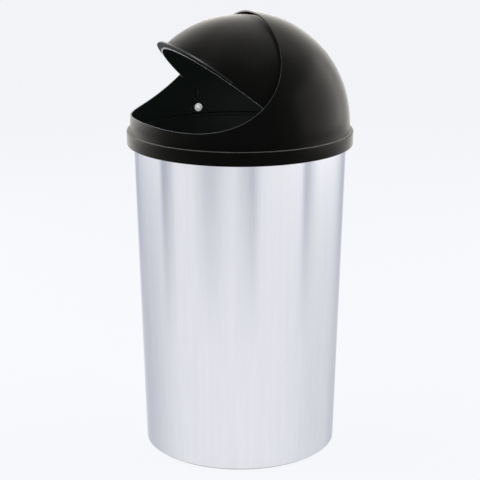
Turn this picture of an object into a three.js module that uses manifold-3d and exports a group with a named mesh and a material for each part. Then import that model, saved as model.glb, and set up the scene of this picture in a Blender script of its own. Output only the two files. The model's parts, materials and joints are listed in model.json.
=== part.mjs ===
// Dome top waste receptacle: a tapered sheet steel bin with an inner bucket, under a moulded
// dome cover whose curved mouth is closed by a swinging flap.
//
// Millimetres, +Z up. The origin is on the floor, on the axis of the bin. The mouth faces -Y,
// and the flap swings about an axis along X. The flap is drawn closed and then swung open.

import * as THREE from 'three';
import { mergeVertices } from 'three/addons/utils/BufferGeometryUtils.js';
import Module from 'manifold-3d';

const wasm = await Module();
wasm.setup();

// ---------------------------------------------------------------- driving dimensions

// Steel shell
const shell_foot_radius = 172;     // outside of the steel shell at the floor
const shell_rim_radius = 187.9;    // outside of the sheet under its bead
const shell_rim_height = 566.2;    // top of the bead
const sheet = 0.8;
const bead_radius = 2.3;           // section of the rolled bead
const foot_turn_in = 9;            // width of the edge turned in at the foot
const foot_lift = 1.6;             // underside of that edge, above the floor
const seam_width = 9;              // lap seam up the back
const seam_proud = 0.6;

// Floor ring and bottom
const ring_lip = 6;                // how far the floor ring's lips reach under and over the edge
const ring_web = 3;
const ring_upper_lip = 1.4;
const pan_wall = 0.8;
const pan_edge_height = 18;        // turned-up edge
const pan_edge_gap = 0.6;          // from the turned-up edge to the shell
const pan_panel_rise = 8;          // raised middle panel, above the pan's foot
const pan_foot_width = 16;
const pan_ring_radii = [60, 105];  // stiffening rings pressed into the panel
const pan_ring_height = 3;
const pan_ring_half_width = 7;

// Inner bucket
const liner_wall = 2;
const liner_rim_wall = 4.5;        // thickness of the liner's rim
const liner_foot_height = 30;      // underside of the liner
const liner_foot_gap = 14;         // between the liner and the shell, at the liner's foot
const liner_side_gap = 0.7;        // between the liner and the shell, at the rim
const liner_heel = 6;              // rounding of the liner's foot
const liner_push_up = 7;           // panel pushed up in the liner's bottom
const liner_bead = 1.2;            // small ridge inside, where the wall meets the rim

// Dome cover
const skirt_proud = 1.3;           // outside of the skirt, beyond the liner's rim
const dome_wall = 2.8;
const skirt_height = 13.8;         // straight skirt, from the ledge up to the centre of the dome
const ledge_rise = 6.1;            // ledge round the skirt, above the foot of the skirt
const collar_wall = 2.8;
const collar_height = 24;
const collar_gap = 4.7;            // between the collar and the liner's rim
const collar_corner = 1.6;         // rounding of the collar's two outer edges
const rib_count = 8;               // locating ribs inside the collar
const rib_wall = 2;
const rib_foot_gap = 4;            // from the foot of a rib to the foot of the collar

// The mouth is the cut of a cylinder lying along X
const mouth_radius = 177.8;
const mouth_lip_rise = 16.4;       // front edge of the mouth, above the centre of the dome
const mouth_top_back = 20.6;       // top edge of the mouth, behind the centre of the dome

// Pivot and bosses
const pivot_forward = 3;           // flap pivot, forward of the axis of the bin
const pivot_drop = 6;              // flap pivot, below the centre of the dome
const boss_radius = 9;             // blind boss that takes the pivot screw
const boss_tip_wall = 2.3;         // plastic left between the screw hole and the outside
const stop_lug_width = 14;         // lugs inside the back of the dome, where the flap stops
const stop_lug_height = 8;
const stop_lug_depth = 7;
const stop_lug_half_spacing = 60;
const stop_lug_rise = 5;           // top of each lug, above the centre of the dome

// Flap
const flap_gap = 4.5;              // between the flap and the inside of the dome, open as drawn
const flap_wall = 2.8;
const flap_open = 41;              // degrees, how far the flap stands open
const flap_edge_rise = 17;         // lower edge of the closed flap, above its centre
const flap_rear_low = 22.5;        // rear edge, behind its centre, where it leaves the ear
const flap_rear_low_rise = 39.5;
const flap_rear_top = 36;          // rear edge, behind its centre, at the top
const ear_radius = 13;             // round end of each ear
const ear_fillet = 9;
const ear_depth = 8;               // degrees of the sphere below its centre, for the ears
const ear_pad_radius = 11.5;
const ear_pad_inset = 5.2;         // inner face of the pad, inside the flap's inner surface
const ear_pad_wall = 3;
const brim_width = 13;             // crescent brim at its middle
const brim_half_angle = 49;        // degrees, from the front to each end of the crescent
const brim_wall = 2.6;
const brim_tilt = 10;              // degrees, the brim turns up

// Pivot fittings
const screw_radius = 2.9;
const screw_head_radius = 4.8;
const screw_head_height = 3.4;
const screw_head_rim = 1.5;        // straight edge of the domed head
const screw_slot_width = 1.2;      // cross recess
const screw_slot_length = 5;
const screw_slot_depth = 1.6;
const screw_tip_gap = 1.6;         // from the screw's tip to the end of its hole
const washer_radius = 7.5;
const washer_wall = 1.2;
const bush_flange_radius = 8.4;
const bush_flange_wall = 1;
const bush_wall = 1.4;

// Clearances
const seat_gap = 0.3;              // between pieces that touch
const running_gap = 0.4;           // between pieces that turn
const bore_gap = 0.3;              // round the screw and the bush
const socket_gap = 1;              // between the boss and the socket in the ear

// Facets
const round_steps = 52;            // round the large shapes
const inner_steps = 40;            // round the pieces inside the foot
const arc_steps = 12;              // along a quarter circle of the dome and the flap
const mouth_steps = 72;            // round the cylinder that cuts the mouth
const small_steps = 20;            // round screws, washers and bushes

// ---------------------------------------------------------------- sizes that follow from them

const degrees = Math.PI / 180;

const rim_radius = shell_rim_radius + 2 * bead_radius;     // outside of the liner's rim
const liner_rim_foot = shell_rim_height + seat_gap;
const liner_rim_top = liner_rim_foot + liner_rim_wall;

const dome_radius = rim_radius + skirt_proud;              // outside of the dome and its skirt
const dome_inner = dome_radius - dome_wall;
const skirt_foot = liner_rim_top + seat_gap;
const collar_top = skirt_foot + ledge_rise;
const collar_foot = collar_top - collar_height;
const collar_inner = rim_radius + collar_gap;
const collar_radius = collar_inner + collar_wall;
const dome_centre = collar_top + skirt_height;
const reach = 2 * collar_radius;                           // longer than any cut

const pivot_y = -pivot_forward;
const pivot_z = dome_centre - pivot_drop;

const flap_outer = dome_inner - flap_gap;
const flap_inner = flap_outer - flap_wall;

const ear_pad_face = flap_inner - ear_pad_inset;
const ear_pad_outer_face = ear_pad_face + ear_pad_wall;
const socket_radius = boss_radius + socket_gap;
const boss_face = ear_pad_outer_face + bush_flange_wall + 2 * seat_gap;
const screw_hole_radius = screw_radius + bore_gap;
const screw_hole_end = dome_radius - boss_tip_wall;
const bush_inner = screw_radius + running_gap;
const bush_outer = bush_inner + bush_wall;
const bush_foot = ear_pad_face - seat_gap;
const washer_inner = screw_radius + bore_gap;
const washer_outer_face = bush_foot - seat_gap;
const washer_inner_face = washer_outer_face - washer_wall;
const screw_seat = washer_inner_face - seat_gap;
const screw_tip = screw_hole_end - screw_tip_gap;

// ---------------------------------------------------------------- shaping

// Turns a three.js geometry into a solid that can be joined and cut.
function solid(geometry) {
  geometry.deleteAttribute('normal');
  geometry.deleteAttribute('uv');
  const merged = mergeVertices(geometry, 1e-4);
  const source = merged.index.array;
  const point = merged.attributes.position;
  const kept = [];
  let volume = 0;
  const a = new THREE.Vector3();
  const b = new THREE.Vector3();
  const c = new THREE.Vector3();
  for (let i = 0; i < source.length; i += 3) {
    const [p, q, r] = [source[i], source[i + 1], source[i + 2]];
    if (p === q || q === r || r === p) continue;
    kept.push(p, q, r);
    a.fromBufferAttribute(point, p);
    b.fromBufferAttribute(point, q);
    c.fromBufferAttribute(point, r);
    volume += a.dot(b.cross(c));
  }
  const turned = volume < 0;
  const corners = new Uint32Array(kept.length);
  for (let i = 0; i < kept.length; i += 3) {
    corners[i] = kept[i];
    corners[i + 1] = turned ? kept[i + 2] : kept[i + 1];
    corners[i + 2] = turned ? kept[i + 1] : kept[i + 2];
  }
  const vertProperties = new Float32Array(point.array);
  return new wasm.Manifold(new wasm.Mesh({ numProp: 3, vertProperties, triVerts: corners }));
}

// A profile of [radius, height] points, turned about the axis of the bin.
function revolve(profile, steps = round_steps) {
  const points = profile.map(([r, z]) => new THREE.Vector2(r, z));
  return solid(new THREE.LatheGeometry(points, steps).rotateX(Math.PI / 2));
}

// A ring: the same, where the profile closes on itself.
function ring(profile, steps = round_steps) {
  return revolve([...profile, profile[0]], steps);
}

// A side outline, drawn in [forward, up], pushed out along X to both sides of the middle plane.
function side_prism(shape) {
  const geometry = new THREE.ExtrudeGeometry(shape, {
    depth: reach, bevelEnabled: false, curveSegments: small_steps,
  });
  geometry.translate(0, 0, -reach / 2);
  const to_side = new THREE.Matrix4().makeBasis(
    new THREE.Vector3(0, -1, 0), new THREE.Vector3(0, 0, 1), new THREE.Vector3(-1, 0, 0));
  return solid(geometry.applyMatrix4(to_side));
}

// A round bar along X from one distance to another, on the line through [y, z].
function bar(radius, from, to, y = 0, z = 0) {
  const geometry = new THREE.CylinderGeometry(radius, radius, Math.abs(to - from), small_steps);
  geometry.rotateZ(Math.PI / 2).translate((from + to) / 2, y, z);
  return solid(geometry);
}

// A profile of [radius, x] points, turned about X.
function turned(profile) {
  const points = profile.map(([r, x]) => new THREE.Vector2(r, x));
  const geometry = new THREE.LatheGeometry(points, small_steps);
  return solid(geometry.rotateZ(-Math.PI / 2));
}

function block(width, depth, height, x, y, z) {
  return solid(new THREE.BoxGeometry(width, depth, height).translate(x, y, z));
}

// Points of an arc about [r, z], from one angle to another, both ends included.
function arc(r, z, radius, from, to, steps) {
  return Array.from({ length: steps + 1 }, (_, i) => {
    const angle = (from + (to - from) * i / steps) * degrees;
    return [r + radius * Math.cos(angle), z + radius * Math.sin(angle)];
  });
}

function piece(name, form, material) {
  const { vertProperties, triVerts } = form.getMesh();
  const geometry = new THREE.BufferGeometry();
  geometry.setAttribute('position', new THREE.BufferAttribute(new Float32Array(vertProperties), 3));
  geometry.setIndex(new THREE.BufferAttribute(new Uint32Array(triVerts), 1));
  geometry.computeVertexNormals();
  const mesh = new THREE.Mesh(geometry, new THREE.MeshStandardMaterial(material));
  mesh.name = name;
  return mesh;
}

// ---------------------------------------------------------------- materials

const black_plastic = { color: 0x1c1b1a, roughness: 0.38, metalness: 0 };
const black_liner = { color: 0x161817, roughness: 0.55, metalness: 0 };
const brushed_steel = { color: 0xc8cad0, roughness: 0.32, metalness: 1 };
const pressed_steel = { color: 0xb0b3b6, roughness: 0.4, metalness: 1 };
const bright_zinc = { color: 0xd2d4d2, roughness: 0.25, metalness: 1 };
const white_nylon = { color: 0xd8d6cc, roughness: 0.5, metalness: 0 };
const black_rubber = { color: 0x1a1a1a, roughness: 0.85, metalness: 0 };

// ---------------------------------------------------------------- steel shell and foot

const sheet_slope = (shell_rim_radius - shell_foot_radius) / shell_rim_height;

// Outside radius of the steel sheet at a height.
function shell_radius(height) {
  return shell_foot_radius + sheet_slope * height;
}

function make_body_shell() {
  const bead_centre = shell_rim_height - bead_radius;
  const bead_middle = shell_radius(bead_centre) + bead_radius - sheet;
  const bead_from = -120;          // degrees, where the bead leaves the sheet
  const bead_to = 150;             // degrees, where it comes round to it again
  const corner = 2 * sheet;
  const foot_inner = shell_radius(foot_lift) - foot_turn_in;
  const profile = [
    [foot_inner, foot_lift],
    ...arc(shell_radius(corner) - corner, foot_lift + corner, corner, -90, 0, 2),
    ...arc(bead_middle, bead_centre, bead_radius, bead_from, bead_to, 5),
    [shell_radius(bead_centre) - sheet, bead_centre],
    ...arc(shell_radius(corner) - corner, foot_lift + corner, corner - sheet, 0, -90, 1),
    [foot_inner, foot_lift + sheet],
  ];
  const seam_foot = foot_lift + 2 * corner;
  const seam_head = bead_centre - 2 * bead_radius;
  const seam_length = seam_head - seam_foot;
  const seam_middle = (seam_foot + seam_head) / 2;
  const seam = new THREE.BoxGeometry(seam_width, seam_proud + sheet / 2, seam_length);
  seam.rotateX(-Math.atan(sheet_slope));
  seam.translate(0, shell_radius(seam_middle) + (seam_proud - sheet / 2) / 2, seam_middle);
  return ring(profile).add(solid(seam));
}

function make_floor_ring() {
  const edge = shell_radius(foot_lift) - foot_turn_in;
  const web_outer = edge - seat_gap;
  const web_inner = web_outer - ring_web;
  const lip_outer = edge + ring_lip;
  const slot_foot = foot_lift - seat_gap;
  const slot_top = foot_lift + sheet + seat_gap;
  return ring([
    [web_inner, 0],
    [lip_outer, 0],
    [lip_outer, slot_foot],
    [web_outer, slot_foot],
    [web_outer, slot_top],
    [lip_outer - ring_upper_lip, slot_top],
    [lip_outer - ring_upper_lip, slot_top + ring_upper_lip],
    [web_inner, slot_top + ring_upper_lip],
  ], inner_steps);
}

const ring_top = foot_lift + sheet + seat_gap + ring_upper_lip;

function make_base_pan() {
  const foot = ring_top + seat_gap;
  const edge_top = foot + pan_edge_height;
  const edge_low = shell_radius(foot) - sheet - pan_edge_gap;
  const edge_high = shell_radius(edge_top) - sheet - pan_edge_gap;
  const panel_outer = edge_low - pan_foot_width;
  const panel = foot + pan_panel_rise;
  const under = [];
  const over = [];
  for (const radius of pan_ring_radii) {
    const rise = [[-1, 0], [0, 1], [1, 0]];
    for (const [across, up] of rise) {
      under.push([radius + across * pan_ring_half_width, panel + up * pan_ring_height]);
      over.push([radius + across * pan_ring_half_width, panel + up * pan_ring_height + pan_wall]);
    }
  }
  return revolve([
    [0, panel],
    ...under,
    [panel_outer, panel],
    [panel_outer + pan_panel_rise / 2, foot],
    [edge_low, foot],
    [edge_high, edge_top],
    [edge_high - pan_wall, edge_top],
    [edge_low - pan_wall, foot + pan_wall],
    [panel_outer + pan_panel_rise / 2 + pan_wall / 2, foot + pan_wall],
    [panel_outer + pan_wall / 2, panel + pan_wall],
    ...over.reverse(),
    [0, panel + pan_wall],
  ], inner_steps);
}

// ---------------------------------------------------------------- inner bucket

function make_liner() {
  const top = shell_radius(liner_rim_foot) - sheet - liner_side_gap;
  const inner_top = top - liner_wall;
  const foot = shell_radius(liner_foot_height) - sheet - liner_foot_gap;
  const inner_foot = foot - liner_wall;
  const floor = liner_foot_height + liner_wall;
  const heel = liner_heel;
  return revolve([
    [0, liner_foot_height + liner_push_up],
    [foot - 4 * heel, liner_foot_height + liner_push_up],
    [foot - 3 * heel, liner_foot_height],
    ...arc(foot - heel, liner_foot_height + heel, heel, -90, 0, 2),
    [top, liner_rim_foot],
    [rim_radius, liner_rim_foot],
    [rim_radius, liner_rim_top],
    [inner_top + 1, liner_rim_top],
    [inner_top, liner_rim_top - 1],
    [inner_top, liner_rim_foot + liner_bead],
    [inner_top - liner_bead, liner_rim_foot],
    [inner_top, liner_rim_foot - liner_bead],
    ...arc(inner_foot - heel, floor + heel, heel, 0, -90, 2),
    [foot - 3 * heel - liner_wall / 2, floor],
    [foot - 4 * heel - liner_wall / 2, floor + liner_push_up],
    [0, floor + liner_push_up],
  ]);
}

// ---------------------------------------------------------------- dome cover

// The cylinder that cuts the mouth, pushed right through the dome. Seen from the side, its circle
// passes through the front lip and the top edge of the mouth.
function mouth_cut() {
  const lip = [dome_radius, mouth_lip_rise];
  const top = [-mouth_top_back, Math.sqrt(dome_radius ** 2 - mouth_top_back ** 2)];
  const across = [lip[0] - top[0], lip[1] - top[1]];
  const chord = Math.hypot(...across);
  const away = Math.sqrt(mouth_radius ** 2 - (chord / 2) ** 2) / chord;
  const forward = (lip[0] + top[0]) / 2 - away * across[1];
  const rise = (lip[1] + top[1]) / 2 + away * across[0];
  const geometry = new THREE.CylinderGeometry(mouth_radius, mouth_radius, reach, mouth_steps);
  geometry.rotateZ(Math.PI / 2).translate(0, -forward, dome_centre + rise);
  return solid(geometry);
}

function make_dome_cover() {
  const ledge_under = collar_top - collar_wall;
  const corner = collar_corner;
  let cover = revolve([
    ...arc(0, dome_centre, dome_radius, 90, 0, arc_steps),
    [dome_radius, collar_top],
    ...arc(collar_radius - corner, collar_top - corner, corner, 90, 0, 2),
    ...arc(collar_radius - corner, collar_foot + corner, corner, 0, -90, 2),
    [collar_inner, collar_foot],
    [collar_inner, ledge_under],
    [dome_radius, ledge_under],
    [dome_radius, skirt_foot],
    [dome_inner, skirt_foot],
    ...arc(0, dome_centre, dome_inner, 0, 90, arc_steps),
  ]);

  cover = cover.subtract(mouth_cut());

  // Locating ribs, which hold the collar off the bead of the shell.
  const rib_inner = rim_radius + seat_gap + running_gap;
  const rib_outer = collar_inner + collar_wall / 2;
  const rib_foot = collar_foot + rib_foot_gap;
  const rib_head = ledge_under + collar_wall / 2;
  for (let i = 0; i < rib_count; i += 1) {
    const rib = new THREE.BoxGeometry(rib_outer - rib_inner, rib_wall, rib_head - rib_foot);
    rib.translate((rib_outer + rib_inner) / 2, 0, (rib_head + rib_foot) / 2);
    rib.rotateZ((i + 0.5) * 2 * Math.PI / rib_count);
    cover = cover.add(solid(rib));
  }

  // Lugs inside the back wall, which stop the flap when it is thrown right open.
  const lug_top = dome_centre + stop_lug_rise;
  for (const side of [-1, 1]) {
    const x = side * stop_lug_half_spacing;
    const wall_y = Math.sqrt(dome_inner ** 2 - x ** 2);
    const lug = block(stop_lug_width, 2 * stop_lug_depth, stop_lug_height,
      x, wall_y, lug_top - stop_lug_height / 2);
    cover = cover.add(lug.intersect(dome_block()));
  }

  // Blind bosses for the pivot screws.
  const wall_middle = dome_radius - dome_wall / 2;
  for (const side of [-1, 1]) {
    const boss = bar(boss_radius, side * boss_face, side * wall_middle, pivot_y, pivot_z);
    const hole = bar(screw_hole_radius, side * (boss_face - 1), side * screw_hole_end,
      pivot_y, pivot_z);
    cover = cover.add(boss).subtract(hole);
  }
  return cover;
}

// A plug of the dome's middle wall surface, which trims what is added inside.
function dome_block() {
  const middle = dome_radius - dome_wall / 2;
  return revolve([
    ...arc(0, dome_centre, middle, 90, 0, arc_steps),
    [middle, skirt_foot],
    [0, skirt_foot],
  ]);
}

// ---------------------------------------------------------------- flap, drawn closed

// The flap's own origin is the pivot. Its sphere sits so that the flap, standing open as drawn,
// is centred in the dome.
const flap_turn = flap_open * degrees;
const flap_forward = pivot_drop * Math.sin(flap_turn) - pivot_forward * Math.cos(flap_turn);
const flap_rise = pivot_drop * Math.cos(flap_turn) + pivot_forward * Math.sin(flap_turn);

// What the flap keeps of its sphere, seen from the side: a level lower edge, two ears that reach
// down to the pivot, and a rear edge that leans back.
function flap_outline() {
  const edge = flap_rise + flap_edge_rise;
  const low = [flap_forward - flap_rear_low, flap_rise + flap_rear_low_rise];
  const low_angle = Math.atan2(low[1], low[0]);
  const tangent = low_angle + Math.acos(ear_radius / Math.hypot(...low)) - 2 * Math.PI;
  const top = flap_rise + flap_outer + 1;
  const shape = new THREE.Shape();
  shape.moveTo(reach, edge);
  shape.lineTo(ear_radius + ear_fillet, edge);
  shape.absarc(ear_radius + ear_fillet, edge - ear_fillet, ear_fillet, Math.PI / 2, Math.PI, false);
  shape.absarc(0, 0, ear_radius, 0, tangent, true);
  shape.lineTo(...low);
  shape.lineTo(flap_forward - flap_rear_top, top);
  shape.lineTo(reach, top);
  return shape;
}

// Half width of the brim's crescent at an angle from the front, in degrees.
function brim_reach(angle) {
  return brim_width * Math.sqrt(1 - (angle / brim_half_angle) ** 2);
}

function make_brim() {
  const root = Math.sqrt((flap_outer - flap_wall / 2) ** 2 - flap_edge_rise ** 2);
  const edge = Math.sqrt(flap_outer ** 2 - flap_edge_rise ** 2);
  const steps = 24;
  const outer = [];
  const inner = [];
  for (let i = 0; i <= steps; i += 1) {
    const angle = brim_half_angle * (2 * i / steps - 1);
    const [x, y] = [Math.sin(angle * degrees), -Math.cos(angle * degrees)];
    const far = edge + brim_reach(angle);
    outer.push(new THREE.Vector2(far * x, far * y));
    inner.push(new THREE.Vector2(root * x, root * y));
  }
  const shape = new THREE.Shape([...outer, ...inner.reverse()]);
  const geometry = new THREE.ExtrudeGeometry(shape, { depth: brim_wall, bevelEnabled: false });
  const point = geometry.attributes.position;
  const slope = Math.tan(brim_tilt * degrees);
  for (let i = 0; i < point.count; i += 1) {
    const lift = slope * (Math.hypot(point.getX(i), point.getY(i)) - root);
    point.setZ(i, point.getZ(i) + lift);
  }
  return solid(geometry.translate(0, -flap_forward, flap_rise + flap_edge_rise));
}

function make_flap() {
  const sphere = new THREE.LatheGeometry([
    ...arc(0, 0, flap_outer, 90, -ear_depth, arc_steps + 1),
    ...arc(0, 0, flap_inner, -ear_depth, 90, arc_steps + 1),
  ].map(([r, z]) => new THREE.Vector2(r, z)), round_steps);
  sphere.rotateX(Math.PI / 2).translate(0, -flap_forward, flap_rise);
  let flap = solid(sphere).intersect(side_prism(flap_outline())).add(make_brim());

  // Each ear has a pad with a hole for its bush, and a socket outside for the boss.
  const pad_root = flap_inner + flap_wall / 5;
  for (const side of [-1, 1]) {
    const pad = bar(ear_pad_radius, side * ear_pad_face, side * pad_root);
    const socket = bar(socket_radius, side * ear_pad_outer_face, side * reach);
    const hole = bar(bush_outer + bore_gap, side * (ear_pad_face - 1), side * reach);
    flap = flap.add(pad).subtract(socket).subtract(hole);
  }
  return flap;
}

// ---------------------------------------------------------------- pivot fittings, right-hand side

function make_pivot_bush() {
  const shoulder = ear_pad_outer_face + seat_gap;
  const profile = [
    [bush_inner, bush_foot],
    [bush_outer, bush_foot],
    [bush_outer, shoulder],
    [bush_flange_radius, shoulder],
    [bush_flange_radius, shoulder + bush_flange_wall],
    [bush_inner, shoulder + bush_flange_wall],
  ];
  return turned([...profile, profile[0]]);
}

function make_pivot_washer() {
  const profile = [
    [washer_inner, washer_inner_face],
    [washer_radius, washer_inner_face],
    [washer_radius, washer_outer_face],
    [washer_inner, washer_outer_face],
  ];
  return turned([...profile, profile[0]]);
}

function make_pivot_screw() {
  const crown = screw_seat - screw_head_height;
  const dome = screw_head_height - screw_head_rim;
  const screw = turned([
    ...[0, 35, 65, 90].map((angle) => [
      screw_head_radius * Math.sin(angle * degrees),
      crown + dome * (1 - Math.cos(angle * degrees)),
    ]),
    [screw_head_radius, screw_seat],
    [screw_radius, screw_seat],
    [screw_radius, screw_tip - screw_radius],
    [0, screw_tip],
  ]);
  const slot = [screw_slot_width, screw_slot_length];
  const cut = new THREE.BoxGeometry(2 * screw_slot_depth, ...slot).translate(crown, 0, 0);
  const cross_cut = cut.clone().rotateX(Math.PI / 2);
  return screw.subtract(solid(cut)).subtract(solid(cross_cut));
}

// ---------------------------------------------------------------- the assembly

const receptacle = new THREE.Group();
receptacle.add(
  piece('body_shell', make_body_shell(), brushed_steel),
  piece('base_pan', make_base_pan(), pressed_steel),
  piece('floor_ring', make_floor_ring(), black_rubber),
  piece('liner', make_liner(), black_liner),
  piece('dome_cover', make_dome_cover(), black_plastic),
);

const pivot = new THREE.Group();
pivot.position.set(0, pivot_y, pivot_z);
receptacle.add(pivot);

const swing = new THREE.Group();
swing.rotation.x = -flap_turn;
swing.add(piece('flap', make_flap(), black_plastic));
pivot.add(swing);

for (const [side, turn] of [['right', 0], ['left', Math.PI]]) {
  const bush = piece(`pivot_bush_${side}`, make_pivot_bush(), white_nylon);
  const washer = piece(`pivot_washer_${side}`, make_pivot_washer(), bright_zinc);
  const screw = piece(`pivot_screw_${side}`, make_pivot_screw(), bright_zinc);
  for (const mesh of [bush, washer, screw]) mesh.rotation.z = turn;
  swing.add(bush);
  pivot.add(washer, screw);
}

export default receptacle;
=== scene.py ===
# %% [markdown]
# # A dome top waste receptacle
#
# A tall, slightly tapered bin of brushed sheet steel stands on a rubber floor ring. A black
# moulded cover sits on it, shaped like a dome, and the curved mouth in its front is closed by a
# swinging flap, which stands open here. An inner bucket hangs inside from its rim.
#
# The construction is already done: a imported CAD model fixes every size, place and joint. This
# script is the finishing shop. It models each piece again with round surfaces and soft edges,
# in the place of its faceted CAD solid, gives it its finish, and sets up a small studio.

# %% Load the frame
import json
import math

import bmesh
import bpy
from mathutils import Matrix, Vector


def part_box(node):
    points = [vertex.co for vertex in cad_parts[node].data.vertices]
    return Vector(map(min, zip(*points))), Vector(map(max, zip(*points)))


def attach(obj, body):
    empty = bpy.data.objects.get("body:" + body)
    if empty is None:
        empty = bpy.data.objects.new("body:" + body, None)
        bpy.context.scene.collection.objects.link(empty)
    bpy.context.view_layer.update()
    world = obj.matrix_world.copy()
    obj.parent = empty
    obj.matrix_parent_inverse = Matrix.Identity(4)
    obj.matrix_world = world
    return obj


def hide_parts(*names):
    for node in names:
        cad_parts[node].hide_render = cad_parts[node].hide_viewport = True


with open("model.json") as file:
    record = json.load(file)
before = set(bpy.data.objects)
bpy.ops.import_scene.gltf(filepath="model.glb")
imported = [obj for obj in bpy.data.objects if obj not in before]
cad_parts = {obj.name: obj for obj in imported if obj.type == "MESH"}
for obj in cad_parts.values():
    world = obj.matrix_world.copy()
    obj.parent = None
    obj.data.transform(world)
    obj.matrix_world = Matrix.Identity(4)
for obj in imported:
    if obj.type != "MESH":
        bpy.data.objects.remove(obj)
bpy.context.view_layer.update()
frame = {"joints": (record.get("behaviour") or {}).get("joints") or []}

# %% [markdown]
# ## Sizes
#
# The frame gives the main sizes, so a piece can't drift away from its CAD solid. What a box
# can't tell, such as a wall or a radius, is named here in metres. The mouth faces -Y, and the
# flap turns about an axis along X.

# %% Sizes from the frame
foot_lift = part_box("body_shell")[0].z
cover_low, cover_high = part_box("dome_cover")
bucket_low, bucket_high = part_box("liner")
pan_low, pan_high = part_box("base_pan")
ring_low, ring_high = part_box("floor_ring")
swing = next(joint for joint in frame["joints"] if joint["name"] == "flap_swing")
pivot = Vector(swing["pos_m"])

seat_gap = 0.0003                    # left between two pieces that touch
rim_radius = bucket_high.x
rim_top = bucket_high.z
rim_wall = 0.0045
rim_foot = rim_top - rim_wall
collar_radius = cover_high.x
collar_foot = cover_low.z
collar_height = 0.024
collar_top = collar_foot + collar_height
centre_rise = 0.006                  # of the dome's middle, above the pivot
dome_centre = pivot.z + centre_rise
dome_middle = Vector((0, 0, dome_centre))
dome_proud = 0.00105                 # keeps the round dome as high as the CAD's flat facets
dome_radius = rim_radius + dome_proud
dome_wall = 0.00255
dome_inner = dome_radius - dome_wall
print("collar", collar_radius, "dome", dome_radius, "about height", round(dome_centre, 4))

# %% [markdown]
# ## Shaping tools
#
# Almost every piece of this bin is round, so it starts as a line of a few points and is spun
# about the bin's axis, as a potter or a metal spinner would do it. A full spin meets itself, so
# its ends are merged, and its faces are turned outwards before the piece gets any wall.
#
# Sharp edges never look real, because no moulded or pressed edge is perfectly sharp. A Bevel
# modifier rounds every edge that is sharper than a given angle. Hardened normals keep the flat
# faces beside it flat.

# %% Lines and spins
spin_steps = 240
merge_distance = 1e-6


def arc(centre, radius, start, end, steps):
    """Points of an arc about (across, up), from one angle to another, in degrees."""
    across, up = centre
    turns = [math.radians(start + (end - start) * i / steps) for i in range(steps + 1)]
    return [(across + radius * math.cos(t), up + radius * math.sin(t)) for t in turns]


def spun(line, closed=False, steps=spin_steps):
    """A line of (radius, height) points, turned about the axis of the bin."""
    bm = bmesh.new()
    points = [bm.verts.new((radius, 0, height)) for radius, height in line]
    pairs = list(zip(points, points[1:]))
    if closed:
        pairs.append((points[-1], points[0]))
    edges = [bm.edges.new(pair) for pair in pairs]
    bmesh.ops.spin(bm, geom=points + edges, cent=(0, 0, 0), axis=(0, 0, 1),
                   angle=math.tau, steps=steps, use_merge=True)
    bmesh.ops.remove_doubles(bm, verts=bm.verts[:], dist=merge_distance)
    bmesh.ops.recalc_face_normals(bm, faces=bm.faces[:])
    return bm


def join(bm, *others):
    """Adds other shapes to the first one, as one mesh."""
    for other in others:
        mesh = bpy.data.meshes.new("joined")
        other.to_mesh(mesh)
        bm.from_mesh(mesh)
        bpy.data.meshes.remove(mesh)
        other.free()
    return bm


def moved(bm, matrix):
    bmesh.ops.transform(bm, matrix=matrix, verts=bm.verts[:])
    return bm


def box(size, middle):
    bm = bmesh.new()
    bmesh.ops.create_cube(bm, size=1)
    bmesh.ops.scale(bm, vec=size, verts=bm.verts[:])
    bmesh.ops.translate(bm, vec=middle, verts=bm.verts[:])
    return bm


def loose_object(bm, name):
    mesh = bpy.data.meshes.new(name)
    bm.to_mesh(mesh)
    bm.free()
    thing = bpy.data.objects.new(name, mesh)
    bpy.context.scene.collection.objects.link(thing)
    return thing


def carved(bm, tool):
    """Cuts a closed shape out of another, with the exact boolean."""
    blank = loose_object(bm, "blank")
    cutter = loose_object(tool, "cutter")
    cut = blank.modifiers.new("cut", "BOOLEAN")
    cut.operation = "DIFFERENCE"
    cut.solver = "EXACT"
    cut.object = cutter
    bpy.context.view_layer.update()
    shaped = blank.evaluated_get(bpy.context.evaluated_depsgraph_get())
    result = bmesh.new()
    result.from_mesh(shaped.to_mesh())
    for thing in (blank, cutter):
        mesh = thing.data
        bpy.data.objects.remove(thing)
        bpy.data.meshes.remove(mesh)
    return result


print("spins have", spin_steps, "steps")

# %% [markdown]
# A finished piece gets its wall, its rounded edges and its finish, and is put in the place of
# its CAD nodes. The two large mouldings have several finishes. The first is for their outside,
# the second for their inside, and faces of the others are numbered while they are shaped.

# %% Finished pieces
sharp_angle = math.radians(38)
outer_finish = 0
inner_finish = 1


def finished(name, bm, body, slot, nodes, rounding, sheet=0.0):
    """Makes the object, with its wall and rounded edges, in the place of its CAD nodes."""
    thing = loose_object(bm, name)
    thing.data.shade_smooth()
    if sheet:
        wall = thing.modifiers.new("wall", "SOLIDIFY")
        wall.thickness = sheet
        wall.offset = -1
        wall.use_even_offset = True
    edges = thing.modifiers.new("rounded edges", "BEVEL")
    edges.width = rounding
    edges.segments = 3
    edges.profile = 0.5
    edges.limit_method = "ANGLE"
    edges.angle_limit = sharp_angle
    edges.harden_normals = True
    thing.data.materials.append(finishes[slot])
    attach(thing, body)
    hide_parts(*nodes)
    print(f"{name}: {len(thing.data.polygons)} faces, rides on {body}")
    return thing


def dull_inside(thing, limit, *others):
    """Gives the faces that don't look away from the middle of the dome the duller plastic,
    whose lighter colour is painted light for the dim inside. The limit is the cosine of the
    widest angle that still counts as away. The other finishes, painted shade and painted
    highlight, go to the faces that already have their numbers."""
    for slot in ("liner_plastic", *others):
        thing.data.materials.append(finishes[slot])
    for face in thing.data.polygons:
        outwards = (face.center - dome_middle).normalized()
        if face.material_index == outer_finish and face.normal.dot(outwards) < limit:
            face.material_index = inner_finish


print("edges sharper than", round(math.degrees(sharp_angle)), "degrees are rounded")

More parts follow.
